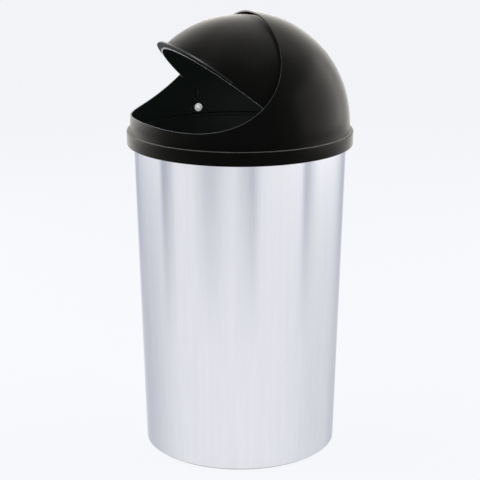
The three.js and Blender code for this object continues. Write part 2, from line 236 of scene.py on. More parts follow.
# %% [markdown]
# ## Finishes
#
# Each finish is a small node tree on a Principled shader. Patterns read Object coordinates, so
# they sit still on the piece when it moves. What is the same all over a surface is typed into
# the shader's own socket, and what varies comes from noise.

# %% Node helpers


def new_finish(name, metallic, specular=0.5):
    finish = bpy.data.materials.new(name)
    finish.use_nodes = True
    shader = finish.node_tree.nodes["Principled BSDF"]
    shader.inputs["Metallic"].default_value = metallic
    shader.inputs["Specular IOR Level"].default_value = specular
    return finish, finish.node_tree, shader


def place(tree, scale=(1, 1, 1)):
    """Object coordinates, stretched per axis."""
    coordinates = tree.nodes.new("ShaderNodeTexCoord")
    mapping = tree.nodes.new("ShaderNodeMapping")
    mapping.inputs["Scale"].default_value = scale
    tree.links.new(coordinates.outputs["Object"], mapping.inputs["Vector"])
    return mapping.outputs["Vector"]


def noise(tree, vector, scale, detail=3.0, roughness=0.5):
    texture = tree.nodes.new("ShaderNodeTexNoise")
    texture.inputs["Scale"].default_value = scale
    texture.inputs["Detail"].default_value = detail
    texture.inputs["Roughness"].default_value = roughness
    tree.links.new(vector, texture.inputs["Vector"])
    return texture.outputs["Fac"]


def spread(tree, value, low, high, start=0.3, end=0.7):
    """Brings a noise value, most of which lies near a half, to a range of values."""
    remap = tree.nodes.new("ShaderNodeMapRange")
    remap.inputs["From Min"].default_value = start
    remap.inputs["From Max"].default_value = end
    remap.inputs["To Min"].default_value = low
    remap.inputs["To Max"].default_value = high
    tree.links.new(value, remap.inputs["Value"])
    return remap.outputs["Result"]


def blend(tree, value, first, second):
    """A colour between two others."""
    mix = tree.nodes.new("ShaderNodeMix")
    mix.data_type = "RGBA"
    mix.inputs["A"].default_value = (*first, 1)
    mix.inputs["B"].default_value = (*second, 1)
    tree.links.new(value, mix.inputs["Factor"])
    return mix.outputs["Result"]


def calculate(tree, operation, first, second=None):
    """One Math node. Each input is a number or another node's output."""
    node = tree.nodes.new("ShaderNodeMath")
    node.operation = operation
    for socket, value in zip(node.inputs, (first, second)):
        if isinstance(value, (int, float)):
            socket.default_value = value
        elif value is not None:
            tree.links.new(value, socket)
    return node.outputs["Value"]


def bump(tree, shader, height, depth, strength=1.0):
    node = tree.nodes.new("ShaderNodeBump")
    node.inputs["Strength"].default_value = strength
    node.inputs["Distance"].default_value = depth
    tree.links.new(height, node.inputs["Height"])
    tree.links.new(node.outputs["Normal"], shader.inputs["Normal"])


print("node helpers ready")

# %% [markdown]
# ### Moulded plastic
#
# The cover and the flap are black polypropylene from a mould with a satin surface. Seen
# straight on it is almost pure black, and towards the outline it turns to a soft warm grey. A
# plain clear shine gives hard hot spots there instead, so the mirror part is kept low and a
# little sheen, which only shows at a grazing view, makes the grey. The shine is a bit uneven,
# because plastic cools unevenly in the mould.
#
# Inside the cover and on the bucket, which nobody polishes a mould for, the plastic is dull,
# and lighter and slightly greenish: that lighter colour is painted light for the dim inside of
# the bin. The underside of the brim gets a dull copy without sheen, which is painted shade
# under the brim. The cut edges of mouth and flap get a lighter, shinier copy with a cooler
# sheen, which is a painted highlight along the edges.

# %% Plastic finishes
sheen_roughness = 0.31
speck_depth = 0.03                   # how far the fine grain moves the roughness
warm_sheen = (1, 0.965, 0.90)
cool_sheen = (0.90, 0.96, 1)


def moulded_plastic(name, dark, pale, specular, roughness, sheen=0.0, tint=warm_sheen):
    finish, tree, shader = new_finish(name, metallic=0.0, specular=specular)
    shader.inputs["Sheen Weight"].default_value = sheen
    shader.inputs["Sheen Roughness"].default_value = sheen_roughness
    shader.inputs["Sheen Tint"].default_value = (*tint, 1)
    here = place(tree)
    cloudy = noise(tree, here, scale=9, detail=4)
    tree.links.new(blend(tree, cloudy, dark, pale), shader.inputs["Base Color"])
    grain = noise(tree, here, scale=1400, detail=2)
    uneven = noise(tree, here, scale=22, detail=5)
    low, high = roughness
    satin = spread(tree, uneven, low, high)
    speck = spread(tree, grain, -speck_depth, speck_depth)
    tree.links.new(calculate(tree, "ADD", satin, speck), shader.inputs["Roughness"])
    bump(tree, shader, grain, depth=0.00006, strength=0.5)
    return finish


finishes = {
    "dome_plastic": moulded_plastic(
        "satin_black_plastic", (0.0008, 0.0009, 0.0008), (0.0014, 0.0015, 0.0013),
        specular=0.025, roughness=(0.24, 0.30), sheen=0.95),
    # lighter than the outside plastic: painted light for the dim inside of the bin
    "liner_plastic": moulded_plastic(
        "lightened_dull_black_plastic", (0.0036, 0.0056, 0.0050), (0.0052, 0.0080, 0.0070),
        specular=0.12, roughness=(0.50, 0.60)),
    # a dull copy without sheen: painted shade under the brim
    "brim_shade": moulded_plastic(
        "shaded_black_plastic", (0.0030, 0.0042, 0.0038), (0.0045, 0.0060, 0.0055),
        specular=0.06, roughness=(0.45, 0.55)),
    # a lighter, shinier copy with a cooler sheen: painted highlight along the cut edges
    "edge_highlight": moulded_plastic(
        "edge_highlight_plastic", (0.0030, 0.0040, 0.0036), (0.0045, 0.0060, 0.0054),
        specular=0.22, roughness=(0.30, 0.38), sheen=0.55, tint=cool_sheen),
    "ring_rubber": moulded_plastic(
        "black_rubber", (0.010, 0.010, 0.010), (0.016, 0.016, 0.016),
        specular=0.3, roughness=(0.70, 0.85)),
    "bush_nylon": moulded_plastic(
        "natural_nylon", (0.62, 0.60, 0.54), (0.70, 0.68, 0.62),
        specular=0.4, roughness=(0.42, 0.52)),
}
print("plastics:", sorted(finishes))

# %% [markdown]
# ### Brushed steel
#
# The shell is sheet steel, brushed up and down. The scratches are long and very narrow, so the
# shine is drawn out across them: that is what an anisotropic shader does, with a tangent that
# runs round the bin's axis. The stock radial tangent turns about each object's own middle,
# which puts a stray glint on the narrow seam, so the tangent is the cross product of up and
# the place. The grain is noise, squeezed across the sheet and stretched along it.
#
# Broad bands, a little darker and bluer, run down the sheet and fade towards the foot. They
# are painted reflections of the studio, with painted shade towards the sides of the camera's
# view. They are fixed to the sheet, so the mesh carries them as a point attribute.

# %% Steel finishes
streak_depth = 0.035                 # how far the grain moves the shade of the metal


def brushed_steel(name, grain, pale, dark, roughness, anisotropic=0.0, metallic=1.0):
    """Metal with a grain along Z. The grain is a scale across it and a scale along it."""
    finish, tree, shader = new_finish(name, metallic)
    across, along = grain
    here = place(tree, scale=(across, across, along))
    hair = noise(tree, here, scale=1.0, detail=2)
    broad = noise(tree, place(tree, scale=(across / 6, across / 6, along / 2)), scale=1.0)
    shade = calculate(tree, "ADD", calculate(tree, "MULTIPLY", hair, 0.5),
                      calculate(tree, "MULTIPLY", broad, 0.5))
    streaks = spread(tree, shade, -streak_depth, streak_depth, start=0.35, end=0.65)
    # the painted reflections and shade that the shell carries, added to the grain; other meshes
    # read 0
    reflection_bands = tree.nodes.new("ShaderNodeAttribute")
    reflection_bands.attribute_name = "reflection_bands"
    darker = calculate(tree, "ADD", streaks, reflection_bands.outputs["Fac"])
    tree.links.new(blend(tree, darker, pale, dark), shader.inputs["Base Color"])
    low, high = roughness
    tree.links.new(spread(tree, hair, low, high), shader.inputs["Roughness"])
    shader.inputs["Anisotropic"].default_value = anisotropic
    if anisotropic:
        around = tree.nodes.new("ShaderNodeVectorMath")
        around.operation = "CROSS_PRODUCT"
        around.inputs[0].default_value = (0, 0, 1)
        tree.links.new(place(tree), around.inputs[1])
        tree.links.new(around.outputs["Vector"], shader.inputs["Tangent"])
    bump(tree, shader, hair, depth=0.00003, strength=0.4)
    return finish


# the shell's dark colour is mostly what its painted reflections and shade blend towards
finishes["shell_steel"] = brushed_steel(
    "brushed_steel", grain=(700, 5), pale=(0.900, 0.903, 0.922), dark=(0.370, 0.392, 0.470),
    roughness=(0.30, 0.36), anisotropic=0.7)
finishes["pan_steel"] = brushed_steel(
    "pressed_steel", grain=(90, 90), pale=(0.60, 0.61, 0.62), dark=(0.42, 0.43, 0.45),
    roughness=(0.32, 0.46))
finishes["bright_zinc"] = brushed_steel(
    "bright_zinc", grain=(900, 900), pale=(0.94, 0.95, 0.94), dark=(0.74, 0.76, 0.76),
    roughness=(0.30, 0.42), metallic=0.1)
print("finishes:", sorted(finishes))

# %% [markdown]
# ## The steel shell
#
# The real shell is one sheet, rolled into a cone, joined by a lap seam up the back, with its
# upper edge rolled over a wire and its foot turned in. So it is drawn as a line with no
# thickness, which runs in along the foot, up the wall and round the bead, and is spun. The
# Solidify modifier then gives it the thickness of the sheet, on its outer side.

# %% Steel shell
foot_radius = 0.172
bead_overhang = 0.0046               # what rim and bead need outside the sheet
sheet_rim_radius = rim_radius - bead_overhang
sheet_top = rim_foot - seat_gap
sheet_wall = 0.0008
sheet_rows = 24
bead_radius = 0.0023
bead_run_in = 0.0015
foot_turn_in = 0.009
foot_corner = 0.0016
seam_width = 0.009
seam_proud = 0.0006


def shell_radius(height):
    """Outside of the steel sheet at a height."""
    return foot_radius + (sheet_rim_radius - foot_radius) * height / sheet_top


def shell_line():
    inner = shell_radius(0) - sheet_wall
    upper = foot_lift + sheet_wall
    corner = foot_corner - sheet_wall
    wall_foot = foot_lift + foot_corner
    bead_height = sheet_top - bead_radius
    wall_head = bead_height - bead_run_in
    heights = [wall_foot + (wall_head - wall_foot) * i / sheet_rows
               for i in range(sheet_rows + 1)]
    bead_middle = shell_radius(bead_height) - sheet_wall + bead_radius
    return [
        (shell_radius(0) - foot_turn_in, upper),
        *arc((inner - corner, upper + corner), corner, -90, 0, 3)[:-1],
        *[(shell_radius(height) - sheet_wall, height) for height in heights],
        *arc((bead_middle, bead_height), bead_radius, 180, -95, 14),
    ]


# Painted reflections and shade on the steel: middle of each band in degrees from +X towards
# +Y, half its width, and how dark it is. The steady bands run all the way down, and the others
# fade.
steady_bands = [
    (-98, 14, 0.48), (-80, 14, 0.25), (24, 18, 0.18), (53, 14, 0.52), (92, 10, 0.20),
    (128, 18, 0.30), (171, 12, 0.22), (214, 16, 0.30),
]
fading_bands = [
    (-102, 7, 0.50), (-69.3, 2.2, 0.52), (-65.5, 3.5, 0.44), (-40.5, 7, 0.38),
    (-18.0, 2.8, 0.42), (-22.5, 4, 0.28), (12, 2.4, 0.50), (15.5, 3.5, 0.30),
    (50, 7, 0.42), (80, 5, 0.40), (109, 7, 0.30), (139, 4, 0.45), (163, 8, 0.32),
    (192, 4, 0.36), (222, 6, 0.42), (240, 4, 0.28),
]
palest = 0.12
fade_foot = 0.36                     # shares of the shell's height
fade_head = 0.94
fade_curve = 1.3


def darkness(turn, reflection_bands):
    """What some bands of painted reflection and shade add up to at an angle round the bin."""
    return sum(depth * math.exp(-(((turn - middle + 180) % 360 - 180) / half) ** 2)
               for middle, half, depth in reflection_bands)


def shell_bands(thing):
    """Writes the painted reflections and shade at each point, from 0 for pale to 1 for dark."""
    attribute = thing.data.attributes.new("reflection_bands", "FLOAT", "POINT")
    for vertex, value in zip(thing.data.vertices, attribute.data):
        turn = math.degrees(math.atan2(vertex.co.y, vertex.co.x))
        fade = (vertex.co.z / sheet_top - fade_foot) / (fade_head - fade_foot)
        fade = min(max(fade, 0), 1) ** fade_curve
        value.value = (palest + darkness(turn, steady_bands)
                       + fade * darkness(turn, fading_bands))


def seam_strip():
    """The outer lap of the seam: a strip that leans with the wall and is half sunk into it."""
    foot = foot_lift + 2 * foot_corner
    head = sheet_top - 4 * bead_radius
    middle = (foot + head) / 2
    outwards = shell_radius(middle) + (seam_proud - sheet_wall / 2) / 2
    slope = math.atan((sheet_rim_radius - foot_radius) / sheet_top)
    strip = box((seam_width, seam_proud + sheet_wall / 2, head - foot), (0, 0, 0))
    moved(strip, Matrix.Rotation(-slope, 4, "X"))
    return moved(strip, Matrix.Translation((0, outwards, middle)))


steel_shell = finished("steel_shell", spun(shell_line()), "bin", "shell_steel",
                       ["body_shell"], rounding=0.0002, sheet=sheet_wall)
# painted reflections and shade, in bands down the sheet and the seam
shell_bands(steel_shell)
lap_seam = finished("lap_seam", seam_strip(), "bin", "shell_steel", [], rounding=0.00025)
shell_bands(lap_seam)

# %% [markdown]
# ## Bottom pan and floor ring
#
# The bottom of the bin is a pressed pan. Its middle stands a little off the floor and has two
# stiffening rings. It is spun as a bare line too, and gets its wall afterwards. The floor ring
# is rubber, and grips the turned-in foot of the shell in a groove, so it is a closed section.

# %% Bottom pan and floor ring
pan_wall = 0.0008
pan_play = 0.0006                    # between the pan's edge and the shell
pan_heel = 0.002
panel_rise = 0.008
panel_edge = 0.016
press_rings = [0.060, 0.105]
press_half_width = 0.007
press_height = 0.003
wave_steps = 10
web_wall = 0.003                     # of the floor ring, inside its groove


def pan_line():
    under = pan_low.z
    edge_low = shell_radius(under) - sheet_wall - pan_play
    edge_high = shell_radius(pan_high.z) - sheet_wall - pan_play
    panel = under + panel_rise
    points = [(0, panel)]
    for radius in press_rings:
        for i in range(wave_steps + 1):
            across = -1 + 2 * i / wave_steps
            up = 0.5 + 0.5 * math.cos(math.pi * across)
            points.append((radius + across * press_half_width, panel + up * press_height))
    panel_outer = edge_low - panel_edge
    return points + [
        (panel_outer, panel), (panel_outer + panel_rise / 2, under),
        (edge_low - pan_heel, under), (edge_low, under + pan_heel), (edge_high, pan_high.z),
    ]


def ring_section():
    grip = shell_radius(foot_lift) - foot_turn_in
    web_outer = grip - seat_gap
    web_inner = web_outer - web_wall
    lip = ring_high.x
    slot_foot = foot_lift - seat_gap
    slot_top = foot_lift + sheet_wall + seat_gap
    upper = ring_high.z - slot_top
    return [
        (web_inner, ring_low.z), (lip, ring_low.z), (lip, slot_foot), (web_outer, slot_foot),
        (web_outer, slot_top), (lip - upper, slot_top), (lip - upper, ring_high.z),
        (web_inner, ring_high.z),
    ]


finished("pressed_pan", spun(pan_line()), "bin", "pan_steel", ["base_pan"],
         rounding=0.0002, sheet=pan_wall)
finished("rubber_ring", spun(ring_section(), closed=True), "bin", "ring_rubber",
         ["floor_ring"], rounding=0.0004)

# %% [markdown]
# ## The inner bucket
#
# The bucket is moulded, with a wall of 2 mm and a thicker flat rim that hangs on the bead of
# the shell. It is drawn as a closed section, from the middle of its underside out, up the
# outside, over the rim and down the inside. The spin closes both ends on the axis.

# %% Inner bucket
bucket_wall = 0.002
bucket_heel = 0.006
foot_play = 0.014                    # between bucket and shell, at the bucket's foot
head_play = 0.0007                   # and just below its rim
push_up = 0.007
rim_ridge = 0.0012
rim_chamfer = 0.001


def bucket_section():
    under = bucket_low.z
    foot = shell_radius(under) - sheet_wall - foot_play
    top = shell_radius(rim_foot) - sheet_wall - head_play
    inner_top = top - bucket_wall
    inner_foot = foot - bucket_wall
    floor = under + bucket_wall
    heel = bucket_heel
    return [
        (0, under + push_up),
        (foot - 4 * heel, under + push_up),
        (foot - 3 * heel, under),
        *arc((foot - heel, under + heel), heel, -90, -3, 6),
        (top, rim_foot),
        (rim_radius, rim_foot),
        (rim_radius, rim_top),
        (inner_top + rim_chamfer, rim_top),
        (inner_top, rim_top - rim_chamfer),
        (inner_top, rim_foot + rim_ridge),
        (inner_top - rim_ridge, rim_foot),
        (inner_top, rim_foot - rim_ridge),
        *arc((inner_foot - heel, floor + heel), heel, -3, -90, 6),
        (foot - 3 * heel - bucket_wall / 2, floor),
        (foot - 4 * heel - bucket_wall / 2, floor + push_up),
        (0, floor + push_up),
    ]


finished("inner_bucket", spun(bucket_section()), "bucket", "liner_plastic", ["liner"],
         rounding=0.0004)

# %% [markdown]
# ## The dome cover
#
# The cover is one moulding: a hemisphere on a short straight skirt, a ledge, and a collar that
# drops over the bead. Its mouth is the cut of a cylinder lying across the bin. Cutting a fine
# sphere with a boolean leaves slivers along the edge, which then show in the shine. So the
# whole wall is spun with its rows in place, and every row is slid along its meridian until the
# top row lies on the mouth's edge. That keeps clean four-sided faces right up to the edge.

# %% The mouth's edge
mouth_radius = 0.1778
lip_rise = 0.0164
top_back = 0.0206
halvings = 40


def mouth_axis():
    """Forward and up from the middle of the dome, to the middle of the mouth's cylinder."""
    lip = Vector((dome_radius, lip_rise))
    top = Vector((-top_back, math.sqrt(dome_radius ** 2 - top_back ** 2)))
    across = lip - top
    away = math.sqrt(mouth_radius ** 2 - (across.length / 2) ** 2) / across.length
    middle = (lip + top) / 2
    return middle.x - away * across.y, middle.y + away * across.x


mouth_forward, mouth_rise = mouth_axis()


def mouth_limit(forward_share, radius):
    """Elevation where the mouth cuts one meridian of a sphere. The share is the cosine of the
    meridian's angle from the front. Halving finds it, because the cut is crossed only once."""
    low, high = 0, math.pi / 2
    for _ in range(halvings):
        middle = (low + high) / 2
        forward = radius * math.cos(middle) * forward_share - mouth_forward
        up = radius * math.sin(middle) - mouth_rise
        if math.hypot(forward, up) > mouth_radius:
            low = middle
        else:
            high = middle
    return low


for share, where in ((1, "front"), (0, "side"), (-1, "rear")):
    print(where, round(math.degrees(mouth_limit(share, dome_radius)), 1), "degrees up")

# %% Dome, skirt, ledge and collar
dome_rows = 44
dome_span = 60                       # degrees that the rows cover before they are slid
cover_steps = 300
rim_margin = 0.0014                  # depth of the last row below the mouth's edge
edge_limit = 0.5                     # largest cosine between an edge face and its wall
cover_edge_highlight = 2                # number of the painted edge highlight among the cover's finishes
cover_inside = -0.3                  # limit of the faces that look inwards
level_margin = 1e-5                  # points this close to the dome's middle height are level
collar_play = 0.0047
collar_inner = rim_radius + collar_play
collar_wall = collar_radius - collar_inner
collar_corner = 0.0016
ledge_fillet = 0.0010
skirt_foot = rim_top + seat_gap


def cover_section():
    under = collar_top - collar_wall
    corner = collar_corner
    centre = (0, dome_centre)
    return [
        *arc(centre, dome_radius, dome_span, 0, dome_rows),
        *arc((dome_radius + ledge_fillet, collar_top + ledge_fillet), ledge_fillet,
             180, 270, 4),
        *arc((collar_radius - corner, collar_top - corner), corner, 90, 0, 6),
        *arc((collar_radius - corner, collar_foot + corner), corner, 0, -90, 6),
        (collar_inner, collar_foot),
        (collar_inner, under),
        (dome_radius, under),
        (dome_radius, skirt_foot),
        (dome_inner, skirt_foot),
        *arc(centre, dome_inner, 0, dome_span, dome_rows),
    ]


def slide_to_mouth(bm):
    step = math.radians(dome_span) / dome_rows
    for vertex in bm.verts:
        arm = vertex.co - dome_middle
        flat = math.hypot(arm.x, arm.y)
        row = round(math.atan2(arm.z, flat) / step)
        if arm.z < level_margin or row < 1:
            continue
        radius = arm.length
        limit = mouth_limit(-arm.y / flat, radius)
        share = row / (dome_rows - 1)
        rise = limit if row == dome_rows else share * (limit - rim_margin / radius)
        shrink = radius * math.cos(rise) / flat
        vertex.co = (arm.x * shrink, arm.y * shrink, dome_centre + radius * math.sin(rise))
    bm.normal_update()


def mark_edges(bm, middle, finish, lowest=-math.inf):
    """Numbers the edge faces of a round wall, from a height above its middle upwards."""
    for face in bm.faces:
        away = face.calc_center_median() - middle
        if away.z > lowest and abs(face.normal.dot(away.normalized())) < edge_limit:
            face.material_index = finish


cover = spun(cover_section(), closed=True, steps=cover_steps)
slide_to_mouth(cover)
# the cut edges of the mouth get the lighter copy of the plastic, a painted highlight
mark_edges(cover, dome_middle, cover_edge_highlight, lowest=lip_rise / 2)
print("cover wall:", len(cover.faces), "faces")

# %% [markdown]
# Inside, the cover has what such a moulding needs: eight ribs that hold the collar off the
# bead, two blind bosses for the pivot screws, and two lugs where the flap stops. Each is its
# own small closed shape that ends inside the wall, so the union needs no cutting.

# %% Ribs, lugs and bosses
rib_count = 8
rib_wall = 0.002
rib_play = 0.0007
rib_rise = 0.004
lug_size = Vector((0.014, 0.007, 0.008))
lug_spacing = 0.060
lug_rise = 0.005
lug_sink = 0.0003                    # inside the middle of the wall
boss_radius = 0.009
boss_length = 0.0079
boss_face = dome_inner - boss_length
hole_cover = 0.0023                  # plastic left over the blind hole
screw_hole_radius = 0.0032
screw_hole_end = dome_radius - hole_cover
middle_of_wall = dome_radius - dome_wall / 2


def rib(number):
    inner = rim_radius + rib_play
    outer = collar_inner + collar_wall / 2
    foot = collar_foot + rib_rise
    head = collar_top - collar_wall / 2
    shape = box((outer - inner, rib_wall, head - foot),
                ((outer + inner) / 2, 0, (head + foot) / 2))
    turn = (number + 0.5) * math.tau / rib_count
    return moved(shape, Matrix.Rotation(turn, 4, "Z"))


def lug(side):
    """A block whose outer end follows the middle of the wall."""
    inner_y = math.sqrt(dome_inner ** 2 - lug_spacing ** 2) - lug_size.y
    middle_y = inner_y + lug_size.y / 2
    shape = box(lug_size, (side * lug_spacing, middle_y,
                           dome_centre + lug_rise - lug_size.z / 2))
    for vertex in shape.verts:
        if vertex.co.y > middle_y:
            vertex.co.y = math.sqrt(middle_of_wall ** 2 - vertex.co.x ** 2) - lug_sink
    return shape


def turned(section, steps=64):
    """A section of (radius, distance) points, turned about the flap's pivot."""
    shape = spun(section, closed=True, steps=steps)
    moved(shape, Matrix.Rotation(math.pi / 2, 4, "Y"))
    return moved(shape, Matrix.Translation(pivot))


def both_sides(section, steps=64):
    """The same on the right and, half a turn round the bin, on the left."""
    half_turn = (Matrix.Translation(pivot) @ Matrix.Rotation(math.pi, 4, "Z")
                 @ Matrix.Translation(-pivot))
    return turned(section, steps), moved(turned(section, steps), half_turn)


boss_section = [
    (screw_hole_radius, boss_face), (boss_radius, boss_face),
    (boss_radius, middle_of_wall), (0, middle_of_wall),
    (0, screw_hole_end), (screw_hole_radius, screw_hole_end),
]
join(cover, *[rib(i) for i in range(rib_count)], lug(-1), lug(1), *both_sides(boss_section))
dome_lid = finished("dome_lid", cover, "lid", "dome_plastic", ["dome_cover"],
                    rounding=0.0007)
dull_inside(dome_lid, cover_inside, "edge_highlight")

# %% [markdown]
# ## The flap
#
# The flap is a piece of a slightly smaller sphere. Seen from the side it is a wedge: a level
# lower edge, a rear edge that leans back, and two ears that reach down to the pivot. One grid
# is laid over it from ear to ear. Its columns run along the edges and its rows run across, so
# both edges are clean rows of faces. The flap is shaped closed, and swung open at the end.
#
# Each place on the grid is first found in the side view, as forward and up from the middle of
# the flap's sphere. The sphere then gives its distance to the side. That middle is as high as
# the dome's when the flap is open, and a little behind it.

# %% The flap's outline
flap_play = 0.0045
flap_radius = dome_inner - flap_play
flap_wall = 0.0028
flap_open = math.radians(41)
centre_back = 0.003                  # of the open flap's middle, behind the pivot
flap_rise = centre_rise * math.cos(flap_open) + centre_back * math.sin(flap_open)
flap_forward = centre_rise * math.sin(flap_open) - centre_back * math.cos(flap_open)
pivot_side = Vector((-flap_forward, -flap_rise))
edge_rise = 0.017
ear_radius = 0.013
ear_fillet = 0.009
rear_low = Vector((-0.0225, 0.0395))
rear_top_back = 0.036
ear_share = 0.30                     # share of each half of the grid that an ear takes


def along(points, share):
    """The point that lies at a share of the length of a line of points."""
    lengths = [(b - a).length for a, b in zip(points, points[1:])]
    left = share * sum(lengths)
    for start, end, length in zip(points, points[1:], lengths):
        if left <= length:
            return start.lerp(end, left / length)
        left -= length
    return points[-1].copy()


def ear_arc(start, end, steps=24):
    return [Vector(p) for p in arc(pivot_side, ear_radius, start, end, steps)]


fillet_middle = pivot_side + Vector((ear_radius + ear_fillet, 0))
fillet_middle.y = edge_rise - ear_fillet
fillet = [Vector(p) for p in arc(fillet_middle, ear_fillet, 90, 180, 12)]
ear_reach = fillet[0].length

to_low = rear_low - pivot_side
tangent = math.degrees(math.atan2(to_low.y, to_low.x) + math.acos(ear_radius / to_low.length))
rear_tangent = ear_arc(tangent, tangent, 1)[0]
rear_slope = (Vector((-rear_top_back, flap_radius)) - rear_low).normalized()


def rear_edge(distance):
    """Where the rear edge lies in the side view, at a distance from the sphere's middle."""
    if distance < rear_low.length:
        start, direction = rear_tangent, (rear_low - rear_tangent).normalized()
    else:
        start, direction = rear_low, rear_slope
    half = start.dot(direction)
    reach = -half + math.sqrt(half ** 2 - start.length_squared + distance ** 2)
    return start + direction * reach


ear_bottom = (tangent + 360) / 2 + 180
ear_front_line = [*ear_arc(ear_bottom - 360, 0), *reversed(fillet)]
ear_rear_line = [*ear_arc(ear_bottom - 360, tangent - 360), rear_edge(ear_reach)]
print("the ears reach", round(ear_reach * 1000, 1), "mm from the middle of the sphere")

# %% The flap's shell
flap_rows = 168
flap_columns = 60
fold_distance = 1e-5                 # grid points this close together are one
brim_shade_finish = 2                      # numbers of the brim's painted shade and of the painted edge highlight among the flap's finishes
flap_edge_highlight = 3                 # edge among the flap's finishes
flap_inside = 0.3                    # limit of the faces that look inwards
to_pivot = Matrix.Translation(pivot)
to_flap = Matrix.Translation(pivot + Vector((0, -flap_forward, flap_rise)))


def side_place(across, reach):
    """Forward and up of a place on the grid, from 0 at the front edge to 1 at the rear edge,
    and from 0 at the foot of the ear to 1 at the middle plane."""
    if reach < ear_share:
        share = reach / ear_share
        return along(ear_front_line, share).lerp(along(ear_rear_line, share), across)
    first = math.asin(ear_reach / flap_radius)
    opening = first + (math.pi / 2 - first) * (reach - ear_share) / (1 - ear_share)
    distance = flap_radius * math.sin(opening)
    rear = rear_edge(distance)
    front_turn = math.asin(edge_rise / distance)
    turn = front_turn + across * (math.atan2(rear.y, rear.x) - front_turn)
    return Vector((math.cos(turn), math.sin(turn))) * distance


def flap_shell():
    bm = bmesh.new()
    bmesh.ops.create_grid(bm, x_segments=flap_columns, y_segments=flap_rows, size=1)
    for vertex in bm.verts:
        across, reach = (vertex.co.x + 1) / 2, 1 - abs(vertex.co.y)
        seen = side_place(across, reach)
        to_side = math.sqrt(max(0, flap_radius ** 2 - seen.length_squared))
        vertex.co = (math.copysign(to_side, vertex.co.y), -seen.x, seen.y)
    bmesh.ops.remove_doubles(bm, verts=bm.verts[:], dist=fold_distance)
    wall = bmesh.ops.extrude_face_region(bm, geom=bm.faces[:], use_keep_orig=True)
    inside = [part for part in wall["geom"] if isinstance(part, bmesh.types.BMVert)]
    share = (flap_radius - flap_wall) / flap_radius
    bmesh.ops.scale(bm, vec=(share, share, share), verts=inside)
    bmesh.ops.recalc_face_normals(bm, faces=bm.faces[:])
    mark_edges(bm, Vector(), flap_edge_highlight)
    return moved(bm, to_flap)


flap = flap_shell()
print("flap wall:", len(flap.faces), "faces")

# %% [markdown]
# The brim is a crescent along the flap's lower edge, which a hand or a bag pushes up. It starts
# as a grid that is bent round the edge, is given its thickness, and has its outer edge rounded.
# Its underside gets the dull copy without sheen, painted shade under the brim, and its outer
# edge gets the painted highlight of the flap's edges.
#
# Round the pivots each ear has a pad inside, a socket for the boss outside, and a hole for the
# bush, and these holes are the one place where a boolean is the simplest way.

# %% The brim, pads and holes
brim_width = 0.013
brim_half_angle = 49
brim_wall = 0.0022
brim_lift = 0.0018                   # of its underside, above the flap's lower edge
brim_slope = math.tan(math.radians(2))
brim_columns = 140
brim_rows = 10
pad_radius = 0.0115
pad_height = 0.0052
pad_wall = 0.003
pad_sink = 0.8                       # share of the flap's wall that a pad goes through
pad_face = flap_radius - flap_wall - pad_height
pad_outer = pad_face + pad_wall
pad_root = flap_radius - pad_sink * flap_wall
socket_play = 0.001
socket_radius = boss_radius + socket_play
bush_outer = 0.0047
bush_hole = bush_outer + seat_gap


def brim():
    root = math.sqrt((flap_radius - flap_wall / 2) ** 2 - edge_rise ** 2)
    edge = math.sqrt(flap_radius ** 2 - edge_rise ** 2)
    bm = bmesh.new()
    bmesh.ops.create_grid(bm, x_segments=brim_columns, y_segments=brim_rows, size=1)
    for vertex in bm.verts:
        turn, share = vertex.co.x, (vertex.co.y + 1) / 2
        width = brim_width * math.sqrt(max(0, 1 - turn ** 2))
        radius = root + share * (edge + width - root)
        angle = math.radians(brim_half_angle * turn)
        rise = edge_rise + brim_lift + brim_slope * (radius - root)
        vertex.co = (radius * math.sin(angle), -radius * math.cos(angle), rise)
    top = bmesh.ops.extrude_face_region(bm, geom=bm.faces[:], use_keep_orig=True)
    upper = [part for part in top["geom"] if isinstance(part, bmesh.types.BMVert)]
    bmesh.ops.translate(bm, vec=(0, 0, brim_wall), verts=upper)
    bmesh.ops.recalc_face_normals(bm, faces=bm.faces[:])
    for face in bm.faces:
        if face.normal.z < -edge_limit:
            face.material_index = brim_shade_finish
        elif face.normal.z < edge_limit:
            face.material_index = flap_edge_highlight
    return moved(bm, to_flap)


pad_section = [
    (bush_hole, pad_face), (pad_radius, pad_face), (pad_radius, pad_root),
    (socket_radius, pad_root), (socket_radius, pad_outer), (bush_hole, pad_outer),
]
socket_cut = [(0, pad_outer), (socket_radius, pad_outer), (socket_radius, collar_radius),
              (0, collar_radius)]
flap = carved(flap, join(*both_sides(socket_cut)))
join(flap, brim(), *both_sides(pad_section))
swing_open = to_pivot @ Matrix.Rotation(-flap_open, 4, "X") @ Matrix.Translation(-pivot)
moved(flap, swing_open)
flap_shape = finished("flap_shell", flap, "swing_flap", "dome_plastic", ["flap"],
                      rounding=0.0006)
dull_inside(flap_shape, flap_inside, "brim_shade", "edge_highlight")

# %% [markdown]
# ## Pivot fittings
#
# The flap turns on two screws. Each screw goes through a zinc washer and a nylon bush, which
# sits in the ear, and into the blind boss of the cover. They are small lathe work: a closed
# section, turned about the pivot. The cross recess in the head is cut with two crossed blocks.

# %% Bushes, washers and screws
bush_inner = 0.0033
bush_flange = 0.0084
flange_wall = 0.001
shoulder = pad_outer + seat_gap
flange_face = shoulder + flange_wall
bush_foot = pad_face - seat_gap
washer_wall = 0.0012
washer_outer_face = bush_foot - seat_gap
washer_face = washer_outer_face - washer_wall
washer_radius = 0.0075
screw_radius = 0.0029
head_radius = 0.0048
head_height = 0.0034
head_seat = washer_face - seat_gap
head_crown = head_seat - head_height
head_rim = 0.0015
crown_steps = 8
tip_play = 0.0016
screw_tip = screw_hole_end - tip_play
recess_width = 0.0012
recess_length = 0.005
recess_depth = 0.0016

